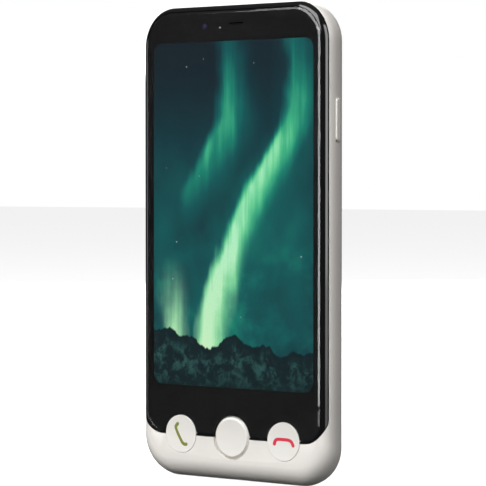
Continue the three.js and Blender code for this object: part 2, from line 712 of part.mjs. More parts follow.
function microphone() {
  const { x, half, bottom, top, far } = MICROPHONE;
  return block(x - half, x + half, ON_SUB_BOARD, far, bottom, top);
}

add('earpiece', earpiece(), 'blackPlastic');
add('earpiece_mesh', earpieceMesh(), 'mesh');
add('loudspeaker', loudspeaker(), 'blackPlastic');
add('speaker_mesh', speakerMesh(), 'mesh');
add('microphone', microphone(), 'steel');
add('vibration_motor', disc(MOTOR.radius, ON_SUB_BOARD, MOTOR.far, MOTOR.x, MOTOR.z, 24), 'steel');

// ---------------------------------------------------------------- sockets and the card tray

// A metal sleeve, closed at its inner end, with a contact tongue down the middle.
function usbPort() {
  const { bottom, top, depth } = USB;
  return joined(
    cut(post(usbSection(0), bottom, top), post(usbSection(-0.3), bottom - 1, top - 1)),
    block(-3.3, 3.3, depth - 0.35, depth + 0.35, bottom + 1.2, top - 0.8),
  );
}

function audioJack() {
  const { x, depth, bore, bottom, top } = JACK;
  return cut(
    block(x - 3, x + 3, depth - 2.1, depth + 2.1, bottom, top),
    post(circle(x, depth, bore), bottom + 1.5, top + 1),
  );
}

function simSocket() {
  return cut(
    block(-33.1, -18.8, ON_BOARD, 7.5, 127.4, 140),
    block(-34, -19.9, 5.55, 7.05, 128.2, 139.2),
  );
}

// The tray's head closes the slot and follows the curve of the wall, and its open frame holds the card.
function simTray() {
  const slug = beam(roundedRect(SIM.near, SIM.far, SIM.bottom, SIM.top, 0.7), -HALF_WIDTH - 1, -35.2);
  const frame = cut(
    block(-35.4, -20.6, 5.8, 6.8, 128.6, 138.8),
    block(-33.9, -21.6, 5, 8, 129.3, 138.1),
  );
  return joined(common(slug, envelope()), frame);
}

add('usb_port', usbPort(), 'steel');
add('audio_jack', audioJack(), 'blackPlastic');
add('sim_socket', simSocket(), 'steel');
add('sim_tray', simTray(), 'keyIvory');

// ---------------------------------------------------------------- screws

// A pan-head screw: the shank reaches forwards and the head's drive recess faces the back.
function screw([x, z], seat, tip) {
  const { headRadius, headHeight, shankRadius } = SCREW;
  const top = seat + headHeight;
  return turned([
    [0, tip], [shankRadius, tip], [shankRadius, seat], [headRadius, seat],
    [headRadius, top], [0.55, top], [0, top - 0.3],
  ], x, z, SMALL_STEPS);
}

function addScrews(name, places, seat, tip) {
  places.forEach((place, i) => add(`${name}_${i + 1}`, screw(place, seat, tip), 'steel'));
}

addScrews('main_board_screw', BOARD_SCREWS, ON_BOARD, 3.05);
addScrews('midframe_screw', LOWER_SCREWS, LEDGE.far + 0.05, 3.05);
addScrews('sub_board_screw', CHIN_SCREWS, ON_SUB_BOARD, 1.8);

export default phone;
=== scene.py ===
"""Looks of a touch-screen phone with round keys: fine surfaces, materials, lit screen, studio and camera."""

import json
import math

import bmesh
import bpy
import numpy as np
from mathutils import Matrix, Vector
from mathutils.bvhtree import BVHTree


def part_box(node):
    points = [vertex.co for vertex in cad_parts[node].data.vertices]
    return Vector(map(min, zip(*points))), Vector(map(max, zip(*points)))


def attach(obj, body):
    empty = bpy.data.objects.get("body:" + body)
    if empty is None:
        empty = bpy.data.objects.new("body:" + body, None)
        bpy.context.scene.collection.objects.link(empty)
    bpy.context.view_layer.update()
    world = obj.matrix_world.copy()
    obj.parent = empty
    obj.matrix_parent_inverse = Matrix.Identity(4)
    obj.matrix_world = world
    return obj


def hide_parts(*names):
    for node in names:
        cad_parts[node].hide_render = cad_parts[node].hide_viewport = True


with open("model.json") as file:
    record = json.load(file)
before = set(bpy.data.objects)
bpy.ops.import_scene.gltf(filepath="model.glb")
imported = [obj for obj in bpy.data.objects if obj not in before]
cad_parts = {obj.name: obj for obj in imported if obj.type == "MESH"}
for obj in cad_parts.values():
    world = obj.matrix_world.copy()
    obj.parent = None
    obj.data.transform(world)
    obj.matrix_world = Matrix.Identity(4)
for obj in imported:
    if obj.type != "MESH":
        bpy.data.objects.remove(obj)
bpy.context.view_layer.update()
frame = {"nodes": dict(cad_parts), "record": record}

MM = 0.001
BODY = "phone_body"

# ---------- sizes, in millimetres, from the frame

FRONT_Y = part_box("cover_glass")[0].y / MM


def box_mm(node):
    """Lowest and highest corner of a CAD node as [x, depth, z], depth counted from the front face."""
    return tuple(np.array(corner) / MM - [0, FRONT_Y, 0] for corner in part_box(node))


def middle(node):
    return sum(box_mm(node)) / 2


HALF_WIDTH, DEPTH, HEIGHT = box_mm("shell")[1]
GLASS_LOW, GLASS_HIGH = box_mm("cover_glass")
GLASS_RADII = (5.8, 10.1)
COVER_BACK = box_mm("rear_cover")[1][1]

WIDEST_DEPTH = 5.0
FRONT_DEPTH = {"side": 5.0, "top": 2.3, "bottom": 5.6}
TOP_RADIUS = 12.6
BOTTOM_RADIUS = 12.5
FACE = {"side": 3.7, "top": 2.9, "bottom": 6.2}
FACE_RADII = (8.6, 9.5)
BACK_EDGE = 2.4
CAP_INSET = 0.5
WALL = 1.3
WALL_REACH = 3.0
COVER = {"seat": 1.85, "rim": 2.0, "thickness": 1.1, "rounding": 0.3}
SEAM_DEPTH = 1.9
SEAM = 0.15
MODULE_HALF = 36.02
MODULE_BOTTOM = box_mm("display_frame")[0][2]
MODULE_RADIUS = 8.5
PLATE = 0.33
BEVEL = [(0.7, 0), (0.66, 0.008), (0.6, 0.03), (0.4, 0.119), (0.2, 0.208), (-0.06, 0.324), (-0.07, PLATE)]
ACTIVE = {"half": 31.3, "low": 29.9, "high": 140.3, "radius": 3.35}
FRAME_WINDOW = {"half": 32, "low": 26.6, "high": 142.1, "radius": 1.3}
SEAT = [(0.36, 0.24), (0.3, 0.3), (0.22, 0.4), (0.22, 0.83)]
SENSOR_HALF = 0.65
FRONT_CAMERA = {"window": 0.9, "lens": 0.75}
SPEAKER = {"pitch": 2.4, "half": 0.5, "reach": 2.0, "flare": 0.1}
JACK_RADIUS = 1.95
TRAY_OPENING = -33.9
MICROPHONE_RADIUS = 0.5
BEAD_BULGE = 0.12
BEYOND = 4.0

CALL_LOW, CALL_HIGH = box_mm("call_key")
HOME_LOW, HOME_HIGH = box_mm("home_key")
CALL_X, _, KEY_Z = middle("call_key")
END_X = middle("end_key")[0]
FLANGE = 0.6
SIDE_KEY_FLANGE = 0.5
ASSIST_FLANGE = 0.8
KEY_HEAD = 1.5
KEY_RADIUS = (CALL_HIGH[2] - CALL_LOW[2]) / 2 - FLANGE
HOME_RADIUS = (HOME_HIGH[2] - HOME_LOW[2]) / 2 - FLANGE
KEY_GAP = 0.1
FLUSH_DISH = {"edge": 5.95, "depth": 0.36, "level": -0.08}
HOME_DISH = {"edge": 5.85, "depth": 0.34, "level": -0.06}
HOME_CHAMFER = [(5.88, -0.055), (5.97, -0.03), (6.04, 0.02), (6.11, 0.1), (6.84, 0.86), (6.86, 0.94)]
CALL_SYMBOL = [
    (-1.4, 3.2), (-2.15, 2.3), (-2.0, 1.3), (-1.2, -0.3),
    (-0.2, -1.9), (0.55, -2.9), (1.3, -3.3), (2.1, -3.25),
]
END_SYMBOL = [
    (-3.45, -0.8), (-3.2, 0.1), (-2.4, 0.65), (-0.4, 0.72), (1.9, 0.62), (3.05, 0.05), (3.65, -0.95),
]
END_SWELL = 0.12

# How near a point and how alike a direction must be to count as the body's own surface.
ON_SURFACE = 0.03
ALONG_SURFACE = 0.93
# Domes stop just short of a quarter turn, so that no two rows of points fall together.
DOME_END = 1.57

# ---------- mesh building


def front(a, b, c):
    """Outline across the front (x, z), stacked in depth."""
    return a, FRONT_Y + c, b


def side(a, b, c):
    """Outline on the side (depth, z), stacked along x."""
    return c, FRONT_Y + a, b


def upright(a, b, c):
    """Outline seen from above (x, depth), stacked along z."""
    return a, FRONT_Y + b, c


def added(name, data):
    """A new object in the scene for some camera, light or mesh data."""
    thing = bpy.data.objects.new(name, data)
    bpy.context.scene.collection.objects.link(thing)
    return thing


def make_object(name, points, faces):
    """A closed mesh object from points in millimetres, its faces turned outwards."""
    mesh = bpy.data.meshes.new(name)
    mesh.from_pydata([tuple(np.array(p, float) * MM) for p in points], [], faces)
    soup = bmesh.new()
    soup.from_mesh(mesh)
    bmesh.ops.recalc_face_normals(soup, faces=soup.faces)
    soup.to_mesh(mesh)
    soup.free()
    return added(name, mesh)


def ring_faces(count, rings):
    """Four-sided faces that join each ring of points to the next."""
    faces = []
    for low in range(0, (rings - 1) * count, count):
        for i in range(count):
            j = (i + 1) % count
            faces.append((low + i, low + j, low + count + j, low + count + i))
    return faces


def skin(name, rings):
    """Joins rings of points, all equally long, into a closed solid."""
    count = len(rings[0])
    points = [point for ring in rings for point in ring]
    caps = [tuple(range(count)), tuple(range(len(points) - count, len(points)))]
    return make_object(name, points, ring_faces(count, len(rings)) + caps)


def loft(name, rings, place=front):
    """A solid through outlines of equal length. Each ring is (outline points, level)."""
    return skin(name, [[place(a, b, level) for a, b in outline] for outline, level in rings])


def lathe(name, profile, x, z, steps=96, place=front):
    """A solid turned about an axis. Its profile of (radius, level) runs from axis to axis or is closed."""
    points, faces, rows = [], [], []
    for radius, level in profile:
        on_axis = radius < 1e-6
        around = [(x, z)] if on_axis else circle(x, z, radius, steps)
        rows.append([len(points)] * steps if on_axis else list(range(len(points), len(points) + steps)))
        points += [place(a, b, level) for a, b in around]
    if profile[0] == profile[-1]:
        rows[-1] = rows[0]
        points = points[:-steps]
    for low, high in zip(rows, rows[1:]):
        for k in range(steps):
            m = (k + 1) % steps
            face = tuple(dict.fromkeys([low[k], low[m], high[m], high[k]]))
            if len(face) > 2:
                faces.append(face)
    return make_object(name, points, faces)


def rounded_rect(left, right, bottom, top, low_radius, high_radius=None, corner=14, side_steps=1):
    """Outline of a rectangle with rounded corners, counterclockwise from the lower left."""
    high_radius = low_radius if high_radius is None else high_radius
    corners = [
        (right - low_radius, bottom + low_radius, low_radius, -90),
        (right - high_radius, top - high_radius, high_radius, 0),
        (left + high_radius, top - high_radius, high_radius, 90),
        (left + low_radius, bottom + low_radius, low_radius, 180),
    ]
    bends = []
    for x, z, radius, start in corners:
        turn = np.radians(start + 90 * np.arange(corner + 1) / corner)
        bends.append(np.column_stack([x + radius * np.cos(turn), z + radius * np.sin(turn)]))
    points = []
    for bend, following in zip(bends, bends[1:] + bends[:1]):
        points += list(bend)
        for k in range(1, side_steps):
            points.append(bend[-1] + (following[0] - bend[-1]) * k / side_steps)
    return np.array(points)


def arc(steps, start=0.0, end=math.pi / 2):
    """Sine and cosine at even steps of a turn, a quarter of one unless told otherwise."""
    return [(math.sin(turn), math.cos(turn)) for turn in np.linspace(start, end, steps)]


def smooth(piece, degrees=30):
    """Shades a piece smoothly, except over edges that are sharper than the angle."""
    piece.data.shade_smooth()
    piece.data.set_sharp_from_angle(angle=math.radians(degrees))
    return piece


def flat_faces(piece):
    """Keeps the faces that look straight forward or back free of the shading of the edges around them."""
    mesh = piece.data
    corners = [Vector(n.vector) for n in mesh.corner_normals]
    for polygon in mesh.polygons:
        if abs(polygon.normal.y) > 0.99999:
            for loop in polygon.loop_indices:
                corners[loop] = polygon.normal.copy()
    mesh.normals_split_custom_set(corners)
    return piece


def cleaned(piece):
    """Joins points that a cut left almost on top of each other."""
    soup = bmesh.new()
    soup.from_mesh(piece.data)
    bmesh.ops.remove_doubles(soup, verts=soup.verts, dist=2e-7)
    bmesh.ops.dissolve_degenerate(soup, dist=1e-7, edges=soup.edges)
    soup.to_mesh(piece.data)
    soup.free()
    return piece


def combine(piece, others, operation):
    """Applies one boolean for each other solid, and removes those solids."""
    for other in others:
        step = piece.modifiers.new("cut", "BOOLEAN")
        step.operation = operation
        step.solver = "MANIFOLD"
        step.object = other
        graph = bpy.context.evaluated_depsgraph_get()
        mesh = bpy.data.meshes.new_from_object(piece.evaluated_get(graph))
        piece.modifiers.clear()
        old = piece.data
        piece.data = mesh
        bpy.data.meshes.remove(old)
        bpy.data.objects.remove(other)
    return piece


def cut(piece, *others):
    return combine(piece, others, "DIFFERENCE")


def keep(piece, *others):
    return combine(piece, others, "INTERSECT")


def join(piece, *others):
    return combine(piece, others, "UNION")


def prism(outline, low, high, place=front):
    return loft("tool", [(outline, low), (outline, high)], place)


def block(left, right, near, far, bottom, top):
    return prism(np.array([(left, bottom), (right, bottom), (right, top), (left, top)], float), near, far)


def circle(x, z, radius, steps=48):
    turn = 2 * np.pi * np.arange(steps) / steps
    return np.column_stack([x + radius * np.cos(turn), z + radius * np.sin(turn)])


def round_node(node):
    """Centre, radius and the two depths of a round CAD node that faces forwards or back."""
    low, high = box_mm(node)
    x, _, z = (low + high) / 2
    return x, z, (high[0] - low[0]) / 2, low[1], high[1]


def around_node(node, across, up, grow, radius=None, corner=14, below=0.0):
    """Rounded outline round a CAD node, with room all round and more below. across and up number its axes.

    Without a radius, its ends are half circles as wide as it is deep."""
    low, high = box_mm(node)
    if radius is None:
        radius = (high - low)[1] / 2 - 0.001
    low, high = low - grow, high + grow
    return rounded_rect(low[across], high[across], low[up] - below, high[up], radius + grow, corner=corner)


def flared_hole(x, z, radius, mouth, end, flare):
    """A round cutter whose mouth widens a little, so the hole's edge is softly broken."""
    way = math.copysign(1, end - mouth)
    profile = [(0, mouth - way * BEYOND), (radius + flare, mouth - way * BEYOND)]
    profile += [(radius + flare * (1 - s), mouth + way * flare * (1 - c)) for s, c in arc(5)]
    profile += [(radius, end), (0, end)]
    return lathe("tool", profile, x, z)


# ---------- the body's outer surface

CORNER = 20
SIDE_STEPS = 10


def widest_outline(inset=0.0):
    return rounded_rect(
        -HALF_WIDTH + inset, HALF_WIDTH - inset, inset, HEIGHT - inset,
        BOTTOM_RADIUS - inset, TOP_RADIUS - inset, CORNER, SIDE_STEPS,
    )


def face_outline(extra=0.0):
    """Edge of the flat front, where the rounding to the sides begins."""
    low_radius, high_radius = FACE_RADII
    return rounded_rect(
        -HALF_WIDTH + FACE["side"] + extra, HALF_WIDTH - FACE["side"] - extra,
        FACE["bottom"] + extra, HEIGHT - FACE["top"] - extra,
        low_radius - extra, high_radius - extra, CORNER, SIDE_STEPS,
    )


def back_outline(extra=0.0):
    return widest_outline(BACK_EDGE + extra)


def front_depths(outline):
    """How deep the front rounding reaches at each outline point: least along the top, most under the chin."""
    ahead = np.roll(outline, -1, axis=0) - np.roll(outline, 1, axis=0)
    up = np.clip(-ahead[:, 0] / np.linalg.norm(ahead, axis=1), -1, 1)
    side_depth, top, bottom = (FRONT_DEPTH[k] for k in ("side", "top", "bottom"))
    rising = np.clip(up, 0, 1) ** 2 * (top - side_depth)
    falling = np.clip(-up, 0, 1) ** 2 * (bottom - side_depth)
    return side_depth + rising + falling


def body_rings(shrink=0.0, steps=22):
    """Rings of (x, depth, z) points from the middle of the front to the middle of the back.

    shrink moves the surface inwards by about that much all round."""
    wide, face, back = widest_outline(shrink), face_outline(), back_outline()
    deep = front_depths(widest_outline())
    back_start = np.maximum(deep, WIDEST_DEPTH)

    def ring(outline, depth):
        return np.column_stack([outline[:, 0], np.broadcast_to(depth, len(outline)), outline[:, 1]])

    rings = [ring(face_outline(CAP_INSET), shrink)]
    rings += [ring(face + (wide - face) * s, deep - (deep - shrink) * c) for s, c in arc(steps)]
    for s, c in arc(steps):
        rings.append(ring(back + (wide - back) * c, back_start + (DEPTH - shrink - back_start) * s))
    rings.append(ring(back_outline(CAP_INSET), DEPTH - shrink))
    return rings


def body_solid(name, shrink=0.0, steps=22):
    """The whole body: flat front, sides that bulge to the widest outline, and a flat back."""
    rings = body_rings(shrink, steps)
    return cleaned(skin(name, [[(x, FRONT_Y + depth, z) for x, depth, z in ring] for ring in rings]))


def surface_lookup():
    """A search tree over the uncut body, with the smooth normal of each of its triangles' corners."""
    rings = np.array(body_rings(steps=40))
    across = np.roll(rings, -1, axis=1) - np.roll(rings, 1, axis=1)
    along = np.gradient(rings, axis=0)
    normals = np.cross(along, across)
    normals /= np.maximum(np.linalg.norm(normals, axis=2), 1e-12)[:, :, None]
    centre = np.array([0, DEPTH / 2, HEIGHT / 2])
    if ((rings - centre) * normals).sum() < 0:
        normals = -normals
    normals[:2] = (0, -1, 0)
    normals[-2:] = (0, 1, 0)
    points = (rings + [0, FRONT_Y, 0]).reshape(-1, 3) * MM
    triangles = []
    for a, b, c, d in ring_faces(rings.shape[1], rings.shape[0]):
        triangles += [(a, b, c), (a, c, d)]
    tree = BVHTree.FromPolygons([Vector(p) for p in points], triangles)
    return tree, points, normals.reshape(-1, 3), triangles


def follow_surface(piece):
    """Gives the faces on the body's outer surface the smooth normals of the uncut body."""
    tree, points, normals, triangles = SURFACE
    mesh = piece.data
    corners = [Vector(n.vector) for n in mesh.corner_normals]
    for polygon in mesh.polygons:
        for loop in polygon.loop_indices:
            place = mesh.vertices[mesh.loops[loop].vertex_index].co
            spot, facing, index, distance = tree.find_nearest(place)
            if distance > ON_SURFACE * MM or abs(facing.dot(polygon.normal)) < ALONG_SURFACE:
                continue
            a, b, c = (points[k] for k in triangles[index])
            share, *_ = np.linalg.lstsq(np.column_stack([b - a, c - a]), np.array(spot) - a, rcond=None)
            weights = np.clip([1 - share.sum(), *share], 0, 1)
            normal = sum(w * normals[k] for w, k in zip(weights, triangles[index]))
            corners[loop] = Vector(normal).normalized()
    mesh.normals_split_custom_set(corners)
    return piece


def module_outline(grow=0.0):
    """The black front module ends in a round-cornered edge above the chin, and runs out past the sides."""
    radius = MODULE_RADIUS + grow
    x = MODULE_HALF - MODULE_RADIUS
    z = MODULE_BOTTOM + MODULE_RADIUS
    out = HALF_WIDTH + BEYOND
    turn = np.radians(np.linspace(-90, 0, 28))
    right = np.column_stack([x + radius * np.cos(turn), z + radius * np.sin(turn)])
    frame_top = [(out, z), (out, HEIGHT + BEYOND), (-out, HEIGHT + BEYOND), (-out, z)]
    left = right[::-1] * [-1, 1]
    return np.array([*right, *frame_top, *left])


def module_tool(grow, far, flare=0.0):
    """Cutter for the front module. A flare breaks the edge that the cut leaves in the flat chin."""
    rings = [(module_outline(grow + flare), -BEYOND), (module_outline(grow + flare), 0.0)]
    if flare:
        rings.append((module_outline(grow + flare * 0.3), flare * 0.4))
    rings.append((module_outline(grow), flare + 0.01))
    rings.append((module_outline(grow), far))
    return loft("tool", rings)


def glass_outline(grow=0.0):
    low_radius, high_radius = GLASS_RADII
    return rounded_rect(
        GLASS_LOW[0] - grow, GLASS_HIGH[0] + grow, GLASS_LOW[2] - grow, GLASS_HIGH[2] + grow,
        low_radius + grow, high_radius + grow, 24,
    )


def key_holes(gap, far, flare=0.0):
    """Cutters round the three keys. The home key's hole has the crispest edge."""
    return [
        flared_hole(x, KEY_Z, radius + gap, 0.0, far, max(flare * share, 0.01))
        for x, radius, share in ((CALL_X, KEY_RADIUS, 1), (0.0, HOME_RADIUS, 0.2), (END_X, KEY_RADIUS, 1))
    ]


# ---------- casing


def stadium(node, grow=0.0, below=0.0):
    """Outline, seen from the side, of what shows of a side key."""
    return around_node(node, 1, 2, grow - SIDE_KEY_FLANGE, corner=16, below=below)


def tray_outline(grow=0.0):
    return around_node("sim_tray", 1, 2, grow, 0.85, 10)


def usb_outline(grow):
    low, high = box_mm("usb_port")
    return around_node("usb_port", 0, 1, grow, (high[1] - low[1]) / 2 - 0.01)


def shell():
    """The pale ring, chin and back edge, hollow inside."""
    body = body_solid("shell_surface")
    mouth = prism(widest_outline(BACK_EDGE + COVER["seat"]), DEPTH - WALL_REACH, DEPTH + BEYOND)
    jack = middle("audio_jack")
    microphone = middle("microphone")[0]
    outer = HALF_WIDTH + BEYOND
    wall = HALF_WIDTH - WALL_REACH
    cut(
        body,
        module_tool(SEAM, SEAM_DEPTH + SEAM, 0.12),
        body_solid("tool", shrink=WALL, steps=8),
        mouth,
        *key_holes(KEY_GAP, WALL_REACH, 0.1),
        prism(stadium("power_key", 0.12, 0.4), wall, outer, side),
        prism(stadium("volume_rocker", 0.12, 0.4), -outer, -wall, side),
        prism(tray_outline(0.1), -outer, -wall, side),
        prism(usb_outline(0.2), -BEYOND, WALL_REACH, upright),
        prism(circle(jack[0], jack[1], JACK_RADIUS), HEIGHT - WALL_REACH, HEIGHT + BEYOND, upright),
        prism(circle(microphone, middle("usb_port")[1], MICROPHONE_RADIUS), -BEYOND, WALL_REACH, upright),
    )
    return follow_surface(smooth(cleaned(body)))


def display_frame():
    """The black frame: a thin lip round the glass that rolls over to the sides, with seats behind."""
    body = body_solid("display_frame_surface", steps=26)
    keep(body, module_tool(0.0, SEAM_DEPTH))
    cut(
        body,
        loft("tool", [(glass_outline(grow), depth) for grow, depth in [(SEAT[0][0], -BEYOND), *SEAT]]),
        prism(screen_outline(FRAME_WINDOW), 0.4, BEYOND),
        *key_holes(KEY_GAP, BEYOND, 0.04),
    )
    return follow_surface(smooth(cleaned(body)))


def earpiece_slot(grow=0.0):
    return around_node("earpiece_mesh", 0, 2, grow, 0.3, 8)


def cover_glass():
    """Clear plate with a curved bevel all round, bites for the three keys and the earpiece slot."""
    flat = (glass_outline(-BEVEL[0][0] - 0.3), 0.0)
    plate = loft("cover_glass_plate", [flat] + [(glass_outline(-inset), depth) for inset, depth in BEVEL])
    cut(plate, *key_holes(KEY_GAP, BEYOND, 0.04), prism(earpiece_slot(), -1, 2))
    return flat_faces(smooth(cleaned(plate)))


def screen_outline(window, grow=0.0, corner=14):
    half = window["half"] + grow
    return rounded_rect(
        -half, half, window["low"] - grow, window["high"] + grow, window["radius"] + grow, corner=corner,
    )


def display_window(grow=0.0):
    return screen_outline(ACTIVE, grow, 16)


def ink_border():
    """Black carrier bonded behind the plate. It is open over the lit screen and the front camera."""
    walls = [(0.06, PLATE + 0.005), (0.09, 0.4), (0.1, 0.46), (0.1, GLASS_HIGH[1])]
    border = loft("ink_border", [(glass_outline(grow), depth) for grow, depth in walls])
    camera = middle("front_camera")
    lens_hole = circle(camera[0], camera[2], FRONT_CAMERA["window"])
    windows = [display_window(), lens_hole, sensor_window(), earpiece_slot(0.1)]
    cut(border, *(prism(window, 0, 2) for window in windows), *key_holes(KEY_GAP + 0.05, BEYOND))
    return flat_faces(smooth(cleaned(border)))


def sensor_window():
    x, _, z = middle("proximity_sensor")
    half = SENSOR_HALF
    return rounded_rect(x - half, x + half, z - half, z + half, 0.3, corner=8)


def display_stack():
    """Lit screen bonded up against the clear plate, and the panel that carries it."""
    low, high = box_mm("display_panel")
    walls = [(-0.03, PLATE + 0.02), (-0.02, PLATE + 0.05), (-0.02, low[1] + 0.1)]
    stack = loft("display_stack", [(display_window(grow), depth) for grow, depth in walls])
    join(stack, prism(rounded_rect(low[0], high[0], low[2], high[2], 1.0), low[1], high[1]))
    return flat_faces(smooth(cleaned(stack)))


def earpiece_grille():
    """Woven cloth on its carrier, just below the surface of the glass."""
    walls = [(-0.06, 0.02), (-0.02, 0.05), (-0.02, GLASS_HIGH[1])]
    return smooth(loft("earpiece_grille", [(earpiece_slot(grow), depth) for grow, depth in walls]))


def speaker_slot(step, grow=0.0):
    """Upright slot of the loudspeaker, counted to the left or right of the middle one."""
    x, _, z = middle("speaker_mesh") + [SPEAKER["pitch"] * step, 0, 0]
    half, reach = SPEAKER["half"] + grow, SPEAKER["reach"] + grow
    return rounded_rect(x - half, x + half, z - reach, z + reach, half - 0.01, corner=8)


def rear_cover():
    """Flat back with softly rounded rim, pierced for the camera, flash, assistance key and loudspeaker."""
    near = COVER_BACK - COVER["thickness"]
    rounding = COVER["rounding"]
    inset = BACK_EDGE + COVER["rim"]
    rings = [(widest_outline(inset), near)]
    for s, c in arc(6):
        rings.append((widest_outline(inset + rounding * (1 - c)), DEPTH - rounding + rounding * s))
    rings.append((widest_outline(inset + rounding + 0.4), DEPTH))
    tools = []
    for node, gap, flare in (
        ("camera_bezel", 0.12, 0.1), ("flash_window", 0.1, 0.1), ("assist_key", 0.17 - ASSIST_FLANGE, 0.2),
    ):
        x, z, radius, *_ = round_node(node)
        tools.append(flared_hole(x, z, radius + gap, DEPTH, near - 1, flare))
    for step in range(-2, 3):
        slot, wide = speaker_slot(step), speaker_slot(step, SPEAKER["flare"])
        tools.append(loft("tool", [(slot, near - 1), (slot, DEPTH - 0.12), (wide, DEPTH), (wide, DEPTH + 1)]))
    return flat_faces(smooth(cleaned(cut(loft("rear_cover_surface", rings), *tools))))


# ---------- keys


def dish(radius, edge, depth, level):
    """Depth of a dished key face at a radius. Its edge lies at the level."""
    return level + depth * (1 - np.minimum(1, radius / edge) ** 2)


def flush_key(name, x):
    """Round key with a shallow dish and a softly broken edge."""
    edge, level = FLUSH_DISH["edge"], FLUSH_DISH["level"]
    profile = [(q, dish(q, **FLUSH_DISH)) for q in np.linspace(0, edge - 0.1, 20)]
    profile += [(KEY_RADIUS - 0.15 * (1 - s), level + 0.14 * (1 - c)) for s, c in arc(7, 0.1)]
    profile += [(KEY_RADIUS, KEY_HEAD), (KEY_RADIUS + FLANGE, KEY_HEAD)]
    profile += [(KEY_RADIUS + FLANGE, CALL_HIGH[1]), (0.0, CALL_HIGH[1])]
    return smooth(lathe(name, profile, x, KEY_Z, 128), 40)


def home_key():
    """Round key, level with the face, with a dished middle and a wide chamfer that runs into its hole."""
    profile = [(q, dish(q, **HOME_DISH)) for q in np.linspace(0, HOME_DISH["edge"] - 0.05, 24)]
    profile += HOME_CHAMFER
    profile += [(HOME_CHAMFER[-1][0], KEY_HEAD), (HOME_RADIUS + FLANGE, KEY_HEAD)]
    profile += [(HOME_RADIUS + FLANGE, HOME_HIGH[1]), (0.0, HOME_HIGH[1])]
    return smooth(lathe("home_key_surface", profile, 0.0, KEY_Z, 128), 32)


def smooth_path(knots, per_span=10):
    """A round curve through given knots (Catmull-Rom)."""
    knots = np.array(knots, float)
    ends = [2 * knots[0] - knots[1], *knots, 2 * knots[-1] - knots[-2]]
    path = []
    for a, b, c, d in zip(ends, ends[1:], ends[2:], ends[3:]):
        for t in np.arange(per_span) / per_span:
            path.append(0.5 * (2 * b + (c - a) * t + (2 * a - 5 * b + 4 * c - d) * t**2
                               + (3 * b - a - 3 * c + d) * t**3))
    path.append(knots[-1])
    return np.array(path)


def printed_stroke(name, knots, x, width):
    """A printed line with round ends, a hair above the key's dished face. It swells at its two ends."""
    path = smooth_path(knots)
    ahead = np.gradient(path, axis=0)
    ahead /= np.linalg.norm(ahead, axis=1)[:, None]
    across = np.column_stack([-ahead[:, 1], ahead[:, 0]])
    along = np.linspace(-1, 1, len(path))
    half = width / 2 * (1 + END_SWELL * np.clip(np.abs(along) * 1.6 - 0.6, 0, 1))
    left = path + across * half[:, None]
    right = path - across * half[:, None]

    def cap(centre, start, radius):
        return [
            (centre[0] + radius * c, centre[1] + radius * s)
            for s, c in arc(9, start, start + math.pi)[1:-1]
        ]

    head = math.atan2(-across[-1][1], -across[-1][0])
    tail = math.atan2(across[0][1], across[0][0])
    outline = [*right, *cap(path[-1], head, half[-1]), *left[::-1], *cap(path[0], tail, half[0])]

    def lifted(lift):
        return [(x + a, FRONT_Y + dish(math.hypot(a, b), **FLUSH_DISH) - lift, KEY_Z + b) for a, b in outline]

    return smooth(skin(name, [lifted(0.015), lifted(-0.1)]))


def side_key(name, node, hand):
    """Long side key with a rounded crown, and its flange inside the wall."""
    low, high = box_mm(node)
    inner, proud = (low[0], high[0]) if hand > 0 else (-high[0], -low[0])
    flange, head, crown = stadium(node, 0.45), inner + 0.6, 0.4
    rings = [(flange, inner + 0.2), (flange, head), (stadium(node), head)]
    rings += [(stadium(node, -0.55 * (1 - c)), proud - crown + crown * s) for s, c in arc(8)]
    rings.append((stadium(node, -0.8), proud))
    return smooth(loft(name, [(outline, hand * level) for outline, level in rings], side), 40)


def sim_tray():
    """Tray head that follows the wall, with its pin hole, and the open card frame behind it."""
    low, high = box_mm("sim_tray")
    depth = (low[1] + high[1]) / 2
    wall = -HALF_WIDTH
    head = body_solid("sim_tray_surface")
    keep(head, prism(tray_outline(), wall - 1, wall + 1.6, side))
    cut(head, prism(circle(depth, high[2] - 1.6, 0.4, 24), wall - 1, wall + 1.2, side))
    rails = block(wall + 1.4, high[0], depth - 0.5, depth + 0.5, low[2] + 0.6, high[2] - 0.6)
    cut(rails, block(TRAY_OPENING, high[0] - 1, depth - 2, depth + 2, low[2] + 1.3, high[2] - 1.3))
    return follow_surface(smooth(cleaned(join(head, rails))))


# ---------- back and small parts


def assist_key():
    """Round dished key on the back, its flange and its stem."""
    x, z, flange, near, _ = round_node("assist_key")
    radius = flange - ASSIST_FLANGE
    stem, back, front_of_flange, rim, bowl = 1.5, 9.2, 8.8, 0.35, 4.2
    profile = [(0.0, near), (stem, near), (stem, front_of_flange)]
    profile += [(flange, front_of_flange), (flange, back), (radius, back)]
    profile += [(radius - 0.4 * (1 - c), DEPTH - 0.1 - rim + rim * s) for s, c in arc(7)]
    profile += [(q, DEPTH - 0.1 - rim * (1 - (q / bowl) ** 2)) for q in np.linspace(bowl, 0.5, 10)]
    profile.append((0.0, DEPTH - 0.1 - rim))
    return smooth(lathe("assist_key_surface", profile, x, z), 40)


def camera_bezel():
    """Steel ring with a rounded outer edge that falls away to the lens window."""
    x, z, outer, near, far = round_node("camera_bezel")
    inner = outer - 1.65
    rounding = 0.25
    profile = [(inner, near), (outer, near), (outer, far - rounding)]
    profile += [(outer - rounding * (1 - c), far - rounding + rounding * s) for s, c in arc(6)]
    profile += [(inner + 0.75, far), (inner + 0.7, far - 0.04), (inner + 0.1, far - 0.32)]
    profile += [(inner, far - 0.42), (inner, near)]
    return smooth(lathe("camera_bezel_ring", profile, x, z))


